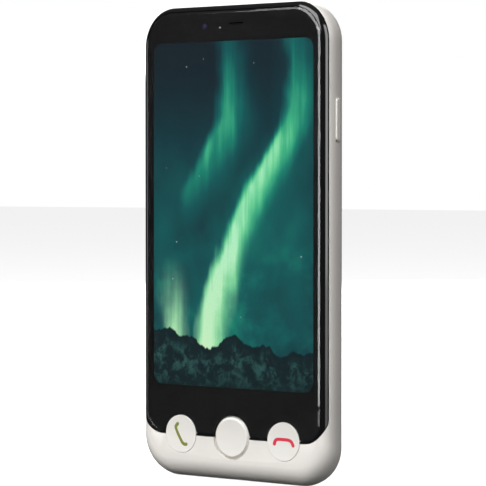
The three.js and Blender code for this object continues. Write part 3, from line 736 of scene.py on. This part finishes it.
def camera_lens():
    """Flat window in front of a dark stepped barrel with a small curved lens."""
    x, z, radius, near, far = round_node("camera_lens")
    window = [(0.0, near), (radius, near), (radius, far - 0.08), (radius - 0.08, far), (0.0, far)]
    back = near - 0.03
    steps = [(0.0, 0.3), (1.15, 0.3), (1.3, 0.14), (1.9, 0.14), (2.0, 0.02)]
    steps += [(radius - 0.1, 0.02), (radius - 0.1, 0.32), (0.0, 0.34)]
    barrel = [(reach, back - drop) for reach, drop in steps]
    curved = [(0.0, back - 0.29)]
    curved += [(1.1 * s, back - 0.28 + 0.24 * c) for s, c in arc(8, DOME_END, 0.1)]
    curved.append((0.0, back - 0.04))
    return (
        smooth(lathe("camera_window", window, x, z), 35),
        smooth(lathe("camera_barrel", barrel, x, z), 35),
        smooth(lathe("camera_dome", curved, x, z, 64), 60),
    )


def flash_window():
    """Flash lens with ribs in rings."""
    x, z, radius, near, far = round_node("flash_window")
    foot, shoulder = 1.1, 9.45
    profile = [(0.0, near), (foot, near), (foot, shoulder), (radius, shoulder), (radius, far - 0.15)]
    profile += [(radius - 0.15, far), (radius - 0.5, far)]
    for ring in range(4):
        ridge = radius - 0.6 - ring * 0.27
        profile += [(ridge, far - 0.07), (ridge - 0.13, far - 0.01)]
    profile.append((0.0, far - 0.02))
    return smooth(lathe("flash_window_lens", profile, x, z, 64), 20)


def bead(name, x, z, radius, near, far, start, turns, steps):
    """Small lens that bulges forwards to its near depth and is flat at its far depth."""
    profile = [(0.0, near)]
    profile += [(radius * s, near + BEAD_BULGE * (1 - c)) for s, c in arc(turns, start, DOME_END)]
    profile += [(radius, far), (0.0, far)]
    return smooth(lathe(name, profile, x, z, steps), 60)


def front_camera_lens():
    """Tiny domed lens of the front camera, just behind the glass."""
    x, _, z = middle("front_camera")
    near = PLATE + 0.02
    return bead("front_camera_lens", x, z, FRONT_CAMERA["lens"], near, near + BEAD_BULGE, 0.2, 7, 48)


def sensor_lens():
    """Small emitter bead of the proximity sensor, low in its window."""
    x, _, z = middle("proximity_sensor")
    near = PLATE + 0.06
    return bead("sensor_bead", x - 0.1, z - 0.25, 0.27, near, near + 0.4, 0.25, 6, 32)


def jack_collar():
    """Bright contact ring just inside the mouth of the audio socket."""
    jack = middle("audio_jack")
    mouth = HEIGHT - 0.35
    outer, inner = 1.9, 1.72
    profile = [(outer, mouth - 1.0), (outer, mouth - 0.45), (inner, mouth - 0.35), (inner, mouth - 1.0)]
    return smooth(lathe("jack_collar", profile + profile[:1], jack[0], jack[1], 48, upright))


# ---------- writing material nodes


class Signal:
    """A value in a node tree. Plain arithmetic on it adds math nodes."""

    def __init__(self, socket):
        self.socket = socket

    def node(self, kind, inputs, output=0, **settings):
        """The output of a new node in the same tree."""
        return Signal(add_node(self.socket.id_data, kind, inputs, **settings).outputs[output])

    def math(self, operation, *others, clamp=False):
        return self.node("Math", dict(enumerate((self, *others))), operation=operation, use_clamp=clamp)

    def __add__(self, other):
        return self.math("ADD", other)

    def __sub__(self, other):
        return self.math("SUBTRACT", other)

    def __rsub__(self, other):
        return self.math("MULTIPLY_ADD", -1.0, other)

    def __mul__(self, other):
        return self.math("MULTIPLY", other)

    def __truediv__(self, other):
        return self.math("DIVIDE", other)

    def rising(self, low, high):
        """0 below low, 1 above high, and a smooth step between them. Either may be a signal."""
        limits = {"Value": self, "From Min": low, "From Max": high}
        return self.node("MapRange", limits, "Result", interpolation_type="SMOOTHSTEP")

    def falling(self, low, high):
        return self.rising(low, high).math("MULTIPLY_ADD", -1.0, 1.0)

    def ramp(self, stops):
        """A colour for each value, from (value, colour) stops."""
        node = add_node(self.socket.id_data, "ValToRGB", {"Fac": self})
        elements = node.color_ramp.elements
        while len(elements) < len(stops):
            elements.new(0.5)
        for element, (place, colour) in zip(elements, stops):
            element.position = place
            element.color = (*colour, 1)
        return Signal(node.outputs["Color"])

    def blend(self, first, second):
        """The first colour where this is 0, the second where it is 1."""
        return self.node("Mix", {0: self, 6: first, 7: second}, 2, data_type="RGBA")

    def split(self):
        return [self.node("SeparateXYZ", {0: self}, k) for k in range(3)]

    def scaled(self, x, y, z):
        return self.node("Mapping", {"Vector": self, "Scale": (x, y, z)})

    def noise(self, scale, detail=3.0, roughness=0.5, distortion=0.0):
        shape = {"Scale": scale, "Detail": detail, "Roughness": roughness, "Distortion": distortion}
        return self.node("TexNoise", {"Vector": self, **shape}, "Fac")

    def cells(self, scale, feature="F1"):
        return self.node("TexVoronoi", {"Vector": self, "Scale": scale}, "Distance", feature=feature)

    def bumps(self, strength, distance):
        """Surface normals for this height, whose full rise is the distance in metres."""
        return self.node("Bump", {"Strength": strength, "Distance": distance, "Height": self}, "Normal")


def feed(socket, value):
    """Links a signal to an input, or sets the value that the input has by itself."""
    if isinstance(value, Signal):
        socket.id_data.links.new(value.socket, socket)
    elif isinstance(value, tuple) and len(value) == 3 and socket.type == "RGBA":
        socket.default_value = (*value, 1)
    else:
        socket.default_value = value


def add_node(tree, kind, inputs, **settings):
    """A new shader node with its settings made and its inputs filled, by name or number."""
    node = tree.nodes.new("ShaderNode" + kind)
    for key, value in settings.items():
        setattr(node, key, value)
    for key, value in inputs.items():
        feed(node.inputs[key], value)
    return node


def bundle(x, y, z):
    return x.node("CombineXYZ", {0: x, 1: y, 2: z})


def srgb(red, green, blue):
    """Linear colour from everyday 0 to 255 values."""
    values = [v / 255 for v in (red, green, blue)]
    return tuple(v / 12.92 if v <= 0.04045 else ((v + 0.055) / 1.055) ** 2.4 for v in values)


def grey(level):
    return level, level, level


def dimmed(colour, share):
    return tuple(c * share for c in colour)


def recipe(paint):
    """Turns a function that lists a shader's inputs into one that makes the material, its name first."""

    def make(name, *settings):
        material = bpy.data.materials.new(name)
        material.use_nodes = True
        tree = material.node_tree
        shader = tree.nodes["Principled BSDF"]
        place = Signal(add_node(tree, "TexCoord", {}).outputs["Object"])
        for key, value in paint(place, *settings).items():
            feed(shader.inputs[key.replace("_", " ")], value)
        return material

    return make


# ---------- materials


@recipe
def moulded_plastic(place, colour, roughness, grain=0.25):
    """Moulded plastic: faint cloudiness in its colour, uneven satin gloss and a fine eroded grain."""
    lighter = tuple(min(1.0, c) for c in dimmed(colour, 1.015))
    return dict(
        Base_Color=place.noise(60).ramp([(0.3, dimmed(colour, 0.965)), (0.7, lighter)]),
        Roughness=place.noise(900, 4) * 0.12 + (roughness - 0.06),
        Normal=place.noise(5200, 2, 0.6).bumps(grain, 0.00002),
    )


@recipe
def gloss_black(place, colour, roughness):
    """Polished black plastic with faint haze and hairline wear."""
    hairs = place.scaled(1, 1, 0.04).noise(2600, 2, 0.6)
    haze = place.noise(120)
    return dict(
        Base_Color=haze.ramp([(0.3, colour), (0.75, dimmed(colour, 1.5))]),
        Roughness=hairs.rising(0.62, 0.75) * 0.03 + haze * 0.02 + (roughness - 0.01),
    )


@recipe
def ink(place):
    """Matt black print seen through the glass, with a hint of unevenness."""
    tone = place.noise(300)
    return dict(
        Base_Color=tone.ramp([(0.3, (0.0074, 0.0074, 0.0076)), (0.7, (0.0092, 0.0092, 0.0094))]),
        Roughness=tone * 0.1 + 0.6,
        Specular_IOR_Level=0.1,
    )


@recipe
def clear_glass(place):
    """Polished glass. Slight smears raise its roughness a little in places."""
    smear = place.scaled(1, 1, 0.35).noise(45, 4, 0.6, 0.8)
    return dict(
        Base_Color=place.noise(30, 2).ramp([(0.3, (0.985, 0.99, 0.99)), (0.7, (1, 1, 1))]),
        Roughness=smear.rising(0.58, 0.8) * 0.03,
        Transmission_Weight=1.0,
        IOR=1.5,
    )


@recipe
def metal(place, colour, roughness, streak=(1, 1, 0.03)):
    """Bare metal with fine drawn lines and mottled gloss."""
    lines = place.scaled(*streak).noise(5000, 3, 0.6)
    return dict(
        Base_Color=place.noise(220).ramp([(0.3, dimmed(colour, 0.9)), (0.7, colour)]),
        Roughness=lines * 0.16 + (roughness - 0.08),
        Normal=lines.bumps(0.12, 0.00001),
        Metallic=1.0,
    )


def stripes(coordinate, per_metre, low, high):
    """Even stripes along a coordinate, from 0 between them to 1 in their middle."""
    return (coordinate * per_metre).math("FRACT").math("PINGPONG", 0.5).rising(low, high)


@recipe
def circuit_board(place):
    """Green solder mask with copper tracks showing through in cells and rows of bright pads."""
    x, _, z = place.split()
    tracks = place.cells(420, "DISTANCE_TO_EDGE").falling(0.02, 0.06)
    pads = stripes(x, 1600, 0.3, 0.34) * stripes(z, 1250, 0.36, 0.4)
    scattered = pads * place.noise(160, 2).rising(0.55, 0.6)
    mask = tracks.blend((0.006, 0.06, 0.03), (0.015, 0.11, 0.05))
    return dict(
        Base_Color=scattered.blend(mask, (0.65, 0.5, 0.25)),
        Metallic=scattered,
        Roughness=scattered * -0.15 + 0.42,
        Normal=tracks.bumps(0.2, 0.00003),
    )


@recipe
def film(place, colour, roughness, lines):
    """Thin laminated film with straight conductors showing as ridges."""
    ridge = stripes(place.split()[0], lines, 0.15, 0.3)
    tone = place.noise(150)
    return dict(
        Base_Color=(ridge * 0.5 + tone * 0.2).blend(colour, dimmed(colour, 0.55)),
        Roughness=tone * 0.1 + roughness,
        Normal=ridge.bumps(0.25, 0.00004),
    )


@recipe
def silicone(place):
    """Milky rubber: soft scatter and a dusty, uneven surface."""
    dust = place.noise(800, 4, 0.65)
    return dict(
        Base_Color=dust.ramp([(0.3, (0.5, 0.5, 0.48)), (0.75, (0.62, 0.62, 0.6))]),
        Roughness=dust * 0.15 + 0.6,
        Normal=dust.bumps(0.2, 0.00003),
        Subsurface_Weight=0.15,
        Subsurface_Radius=(0.001, 0.001, 0.001),
    )


@recipe
def woven_mesh(place):
    """Fine woven wire cloth: crossing threads with dark gaps."""
    x, _, z = place.split()
    weave = (x * 6000).math("SINE").math("MAXIMUM", (z * 6000).math("SINE")).rising(0.0, 0.9)
    return dict(
        Base_Color=weave.ramp([(0.1, (0.006, 0.006, 0.006)), (0.9, (0.022, 0.022, 0.023))]),
        Roughness=weave * -0.2 + 0.65,
        Normal=weave.bumps(0.6, 0.00005),
    )


@recipe
def painted_bloom_lens(place, colour):
    """Dark lens glass with a painted reflection: the coating's blue bloom is painted into its colour,
    darkening towards its rim as the surface turns edge-on.
    """
    rim = place.node("LayerWeight", {"Blend": 0.4}, "Facing")
    return dict(
        # Painted reflection: the blue bloom and its fall to near black at grazing view are painted into the
        # colour.
        Base_Color=rim.ramp([(0.0, colour), (0.6, dimmed(colour, 0.4)), (1.0, (0.01, 0.01, 0.02))]),
        Roughness=place.noise(2500, 2) * 0.04 + 0.03,
        Coat_Weight=1.0,
    )


@recipe
def key_print(place, colour):
    """Printed key symbol: flat ink with a slight grain."""
    grain = place.noise(3500)
    return dict(
        Base_Color=grain.ramp([(0.3, dimmed(colour, 0.85)), (0.7, colour)]),
        Roughness=grain * 0.1 + 0.4,
    )


# ---------- the lit screen


def between(x, left, right, left_soft, right_soft):
    """1 between two edges, with a soft fade of its own at each."""
    inner = x.rising(left - left_soft, left + left_soft)
    return inner * x.falling(right - right_soft, right + right_soft)


def sky_bands(x, y):
    """Green curtains of light over a dark sky. x runs right and y runs down, both 0 to 1 over the screen."""
    place = bundle(x, y, 0.0)
    drift = place.noise(2.6) - 0.5
    ragged = place.scaled(9, 2.2, 1).noise(1.0, 4, 0.6) - 0.5
    rays = place.scaled(24, 2.0, 1).noise(1.0, 4, 0.6)
    fine_rays = place.scaled(70, 4, 1).noise(1.0, 2)
    folds = place.scaled(7, 5, 1).noise(1.0, 2)
    warped = x + drift * 0.2 + ragged * 0.1
    streaks = rays * 0.9 + fine_rays * 0.25 + folds * 0.9 - 0.1

    wave = (y * 9.0 + 0.5).math("SINE") * 0.035
    ribbon_left = 0.8 - y.rising(0.15, 0.85) * 0.55 + wave
    ribbon_power = y.rising(-0.5, 0.62) * y.falling(0.86, 1.1)
    ribbon = between(warped, ribbon_left, ribbon_left + 0.14, 0.035, 0.1) * ribbon_power * streaks
    glow = between(warped, ribbon_left - 0.04, ribbon_left + 0.24, 0.16, 0.16) * ribbon_power

    veil_left = 0.42 - y.rising(0.2, 0.5) * 0.25
    veil_power = y.rising(-0.3, 0.25) * y.falling(0.25, 0.55)
    veil = between(warped, veil_left, veil_left + 0.16, 0.04, 0.14) * veil_power * streaks
    flame = between(warped, 0.07, 0.17, 0.05, 0.07) * y.rising(0.6, 0.85) * streaks

    haze = y.rising(0.0, 0.5) * (drift * 2.4 + 0.95)
    cloud = place.scaled(5, 9, 1).noise(1.0, 4, 0.6).rising(0.42, 0.7) * y.rising(0.45, 0.75)
    light = ribbon.math("MAXIMUM", veil * 0.7).math("MAXIMUM", flame * 0.9)
    total = light * 0.72 + glow * 0.2 + haze * 0.22 + cloud * 0.12 + 0.01
    return total, (ribbon + flame) * y.rising(0.45, 0.95)


def mountains(x, y):
    """How far a point lies below the ridge line, and the snow pattern on the slopes."""
    place = bundle(x, y, 0.0)
    peaks = bundle(x, 0.0, 0.0).noise(4.5, 1.0) - 0.5
    jag = place.scaled(20, 5, 1).noise(1.0, 5, 0.65) - 0.5
    below = y - 0.84 - x * 0.05 - peaks * 0.16 - jag * 0.045
    return below, place.scaled(14, 22, 1).noise(1.0, 7, 0.72, 0.3).rising(0.46, 0.64)


@recipe
def screen_picture(place):
    """The lit display: aurora over mountains, its own light only."""
    across, _, up = place.split()
    x = (across + ACTIVE["half"] * MM) / (2 * ACTIVE["half"] * MM)
    y = (up - ACTIVE["high"] * MM) / ((ACTIVE["low"] - ACTIVE["high"]) * MM)
    total, warm = sky_bands(x, y)
    sky = total.ramp([
        (0.0, srgb(20, 31, 40)), (0.14, srgb(16, 56, 64)), (0.3, srgb(16, 90, 90)),
        (0.48, srgb(26, 132, 112)), (0.66, srgb(64, 180, 134)), (0.84, srgb(118, 220, 160)),
        (1.0, srgb(176, 244, 198)),
    ])
    sky = warm.math("MULTIPLY", 0.55, clamp=True).blend(sky, srgb(226, 248, 200))
    stars = bundle(x * 9, y * 16, 0.0).cells(1.0).falling(0.01, 0.05) * total.falling(0.3, 0.6)
    sky = (stars * 0.8).blend(sky, srgb(190, 225, 235))
    below, snow = mountains(x, y)
    rock = (snow * below.rising(0.0, 0.06)).blend(srgb(14, 33, 38), srgb(44, 84, 82))
    rock = (y.rising(0.93, 1.0) * 0.55).blend(rock, srgb(10, 30, 32))
    return dict(
        Base_Color=grey(0.004),
        Emission_Color=below.rising(0.0, 0.006).blend(sky, rock),
        Emission_Strength=1.0,
        Roughness=0.5,
        Specular_IOR_Level=0.0,
    )


# ---------- putting it together


def dress(piece, material, slot, *nodes, body=BODY):
    """Gives a piece its material and the body it moves with, and hides the CAD nodes it stands in for. The
    slot is not used.
    """
    piece.data.materials.clear()
    piece.data.materials.append(material)
    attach(piece, body)
    if nodes:
        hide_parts(*nodes)
    return piece


def moving_key(piece, node):
    """A pale key, or the tray, that moves with the body named after its CAD node."""
    dress(piece, key_ivory, "key_ivory", node, body=node + "_body")


SURFACE = surface_lookup()
ivory = moulded_plastic("shell_ivory_plastic", srgb(240, 236, 230), 0.45)
key_ivory = moulded_plastic("key_ivory_plastic", srgb(243, 240, 234), 0.4, 0.12)
milky = moulded_plastic("flash_plastic", (0.8, 0.78, 0.66), 0.25, 0.05)
black = gloss_black("frame_gloss_black", (0.0035, 0.0035, 0.004), 0.08)
inner_black = gloss_black("moulded_black", (0.012, 0.012, 0.013), 0.4)
bezel_steel = metal("bezel_steel", (0.58, 0.58, 0.59), 0.24, (0.2, 1, 0.2))
glass = clear_glass("cover_glass_clear")
cloth = woven_mesh("acoustic_cloth")
# Painted reflection: a blue bloom painted into the lens colour, used on both camera lenses.
lens_with_painted_bloom = painted_bloom_lens("lens_coating", (0.05, 0.04, 0.16))
green = key_print("call_green", srgb(136, 146, 62))
red = key_print("end_red", srgb(236, 58, 84))

dress(shell(), ivory, "shell_ivory", "shell")
dress(rear_cover(), ivory, "shell_ivory", "rear_cover")
frame_piece = dress(display_frame(), black, "frame_black", "display_frame")
glass_piece = dress(cover_glass(), glass, "cover_glass", "cover_glass")
dress(ink_border(), ink("border_ink"), "frame_black")
dress(display_stack(), screen_picture("screen_picture"), "display", "display_panel")
dress(earpiece_grille(), cloth, "acoustic_mesh", "earpiece_mesh")

moving_key(flush_key("call_key_surface", CALL_X), "call_key")
moving_key(flush_key("end_key_surface", END_X), "end_key")
moving_key(home_key(), "home_key")
dress(printed_stroke("call_symbol", CALL_SYMBOL, CALL_X, 0.98), green, "key_ivory", body="call_key_body")
dress(printed_stroke("end_symbol", END_SYMBOL, END_X, 1.04), red, "key_ivory", body="end_key_body")
moving_key(side_key("power_key_surface", "power_key", 1), "power_key")
moving_key(side_key("volume_rocker_surface", "volume_rocker", -1), "volume_rocker")
moving_key(sim_tray(), "sim_tray")
moving_key(assist_key(), "assist_key")

dress(camera_bezel(), bezel_steel, "bright_steel", "camera_bezel")
window, barrel, dome = camera_lens()
dress(window, glass, "camera_glass", "camera_lens")
dress(barrel, inner_black, "frame_black")
dress(dome, lens_with_painted_bloom, "camera_glass")
dress(flash_window(), milky, "clear_plastic", "flash_window")
dress(front_camera_lens(), lens_with_painted_bloom, "camera_glass")
dress(sensor_lens(), milky, "clear_plastic")
dress(jack_collar(), bezel_steel, "bright_steel")

NODE_LOOKS = {
    "bright_steel": metal("stamped_steel", (0.62, 0.62, 0.63), 0.32),
    "screw_steel": metal("screw_steel", (0.34, 0.34, 0.35), 0.35, (1, 0.03, 1)),
    "magnesium": metal("cast_magnesium", (0.42, 0.43, 0.45), 0.5, (1, 1, 1)),
    "silicone": silicone("key_silicone"),
    "circuit_board": circuit_board("board_green"),
    "battery_wrap": film("battery_wrap_film", (0.03, 0.03, 0.034), 0.35, 260),
    "flex_lead": film("flex_amber", (0.36, 0.13, 0.02), 0.3, 2500),
    "acoustic_mesh": cloth,
    "frame_black": inner_black,
    "clear_plastic": milky,
}
for row in frame["record"]["subparts"]:
    node = frame["nodes"][row["node"]]
    if row["material_slot"] in NODE_LOOKS and not node.hide_render:
        node.data.materials.clear()
        node.data.materials.append(NODE_LOOKS[row["material_slot"]])

# ---------- camera, light and floor

FLOOR_HALF = 6000
FLOOR_DROP = 0.02
CARD_DISTANCE = 1.1


def make_camera(azimuth, pitch, distance, height, sideways, lens):
    """Aims at the front face from a turn to its right, set off sideways."""
    data = bpy.data.cameras.new("camera")
    camera = added("camera", data)
    turn = math.radians(azimuth)
    ahead = Vector((-math.sin(turn), math.cos(turn), 0))
    right = Vector((math.cos(turn), math.sin(turn), 0))
    aim = Vector((0, FRONT_Y, height))
    camera.location = (aim - ahead * distance + right * sideways) * MM
    camera.rotation_euler = (math.radians(90 - pitch), 0, turn)
    data.sensor_width = 36
    data.lens = lens
    data.clip_start = 0.01
    data.clip_end = 100
    bpy.context.scene.camera = camera


def softbox(name, azimuth, elevation, distance, width, height, power, glossy=True, diffuse=True, skip=None):
    """A rectangular light that faces the middle of the phone. Azimuth 0 is straight in front.

    It can be flagged off from one piece, as a studio does with a black card."""
    data = bpy.data.lights.new(name, "AREA")
    data.shape = "RECTANGLE"
    data.size = width
    data.size_y = height
    data.energy = power
    light = added(name, data)
    a, e = math.radians(azimuth), math.radians(elevation)
    away = Vector((math.sin(a) * math.cos(e), -math.cos(a) * math.cos(e), math.sin(e)))
    light.location = Vector((0, 0, HEIGHT * MM / 2)) + away * distance
    light.rotation_euler = away.to_track_quat("Z", "Y").to_euler()
    light.visible_glossy = glossy
    light.visible_diffuse = diffuse
    light.visible_transmission = diffuse
    if skip:
        flagged = bpy.data.collections.new(name + "_flag")
        flagged.objects.link(skip)
        light.light_linking.receiver_collection = flagged
        flagged.collection_objects[0].light_linking.link_state = "EXCLUDE"


def make_world():
    """White behind the phone for the camera; for the phone itself, soft light from above and dark below."""
    world = bpy.data.worlds.new("studio")
    bpy.context.scene.world = world
    world.use_nodes = True
    tree = world.node_tree
    tree.nodes.clear()
    way = Signal(add_node(tree, "TexCoord", {}).outputs["Generated"])
    level = way.split()[2].math("MULTIPLY_ADD", 0.5, 0.5)
    colour = level.ramp([(0.0, grey(0.055)), (0.58, grey(0.06)), (0.7, grey(0.1)), (1.0, grey(0.2))])
    seen = Signal(add_node(tree, "LightPath", {}).outputs["Is Camera Ray"])
    room = colour.node("Background", {"Color": colour})
    white = colour.node("Background", {"Color": grey(1)})
    add_node(tree, "OutputWorld", {0: colour.node("MixShader", {0: seen, 1: room, 2: white})})


@recipe
def floor_paint(place):
    """Pale paint with the faintest cloudiness, lit from within so that it meets the white behind it."""
    return dict(
        Base_Color=place.noise(3, 2).ramp([(0.3, grey(0.9)), (0.7, grey(0.92))]),
        Emission_Color=grey(1),
        Emission_Strength=0.75,
        Roughness=0.9,
        Specular_IOR_Level=0.0,
    )


def make_floor():
    far = FLOOR_HALF
    corners = [(-far, -far, 0), (far, -far, 0), (far, far, 0), (-far, far, 0)]
    floor = make_object("studio_floor", corners, [(0, 1, 2, 3)])
    floor.location.z = -FLOOR_DROP * MM
    floor.data.materials.append(floor_paint("studio_floor_paint"))
    floor.visible_diffuse = False
    floor.visible_glossy = False
    floor.visible_transmission = False


make_camera(azimuth=35.76, pitch=1.54, distance=725.96, height=95.64, sideways=3.75, lens=169.3)
make_world()
make_floor()
softbox("key_light", -2, 41, 1.2, 1.0, 0.9, 20.5)
for name, azimuth, elevation, width, height, power, skipped in (
    ("bevel_card", 14, 7.5, 0.25, 0.64, 4.1, frame_piece),
    ("bevel_card_lower", 14, -12.5, 0.25, 0.135, 0.37, frame_piece),
    ("corner_card", -38.7, 43, 0.28, 0.31, 1.05, frame_piece),
    ("low_card", -80, -24, 0.3, 0.24, 0.7, None),
    ("side_card", 67, 17, 0.39, 0.8, 5.9, glass_piece),
    ("side_card_lower", 67, -5, 0.39, 0.07, 0.28, glass_piece),
    ("side_card_lowest", 67, -10.2, 0.39, 0.13, 0.31, glass_piece),
):
    softbox(name, azimuth, elevation, CARD_DISTANCE, width, height, power, diffuse=False, skip=skipped)
softbox("side_fill", 98, 12, 1.2, 0.5, 0.8, 2.9, glossy=False)
softbox("back_light", 224, 24, 1.3, 1.0, 0.9, 14.5)

bpy.context.scene.view_settings.view_transform = "Standard"
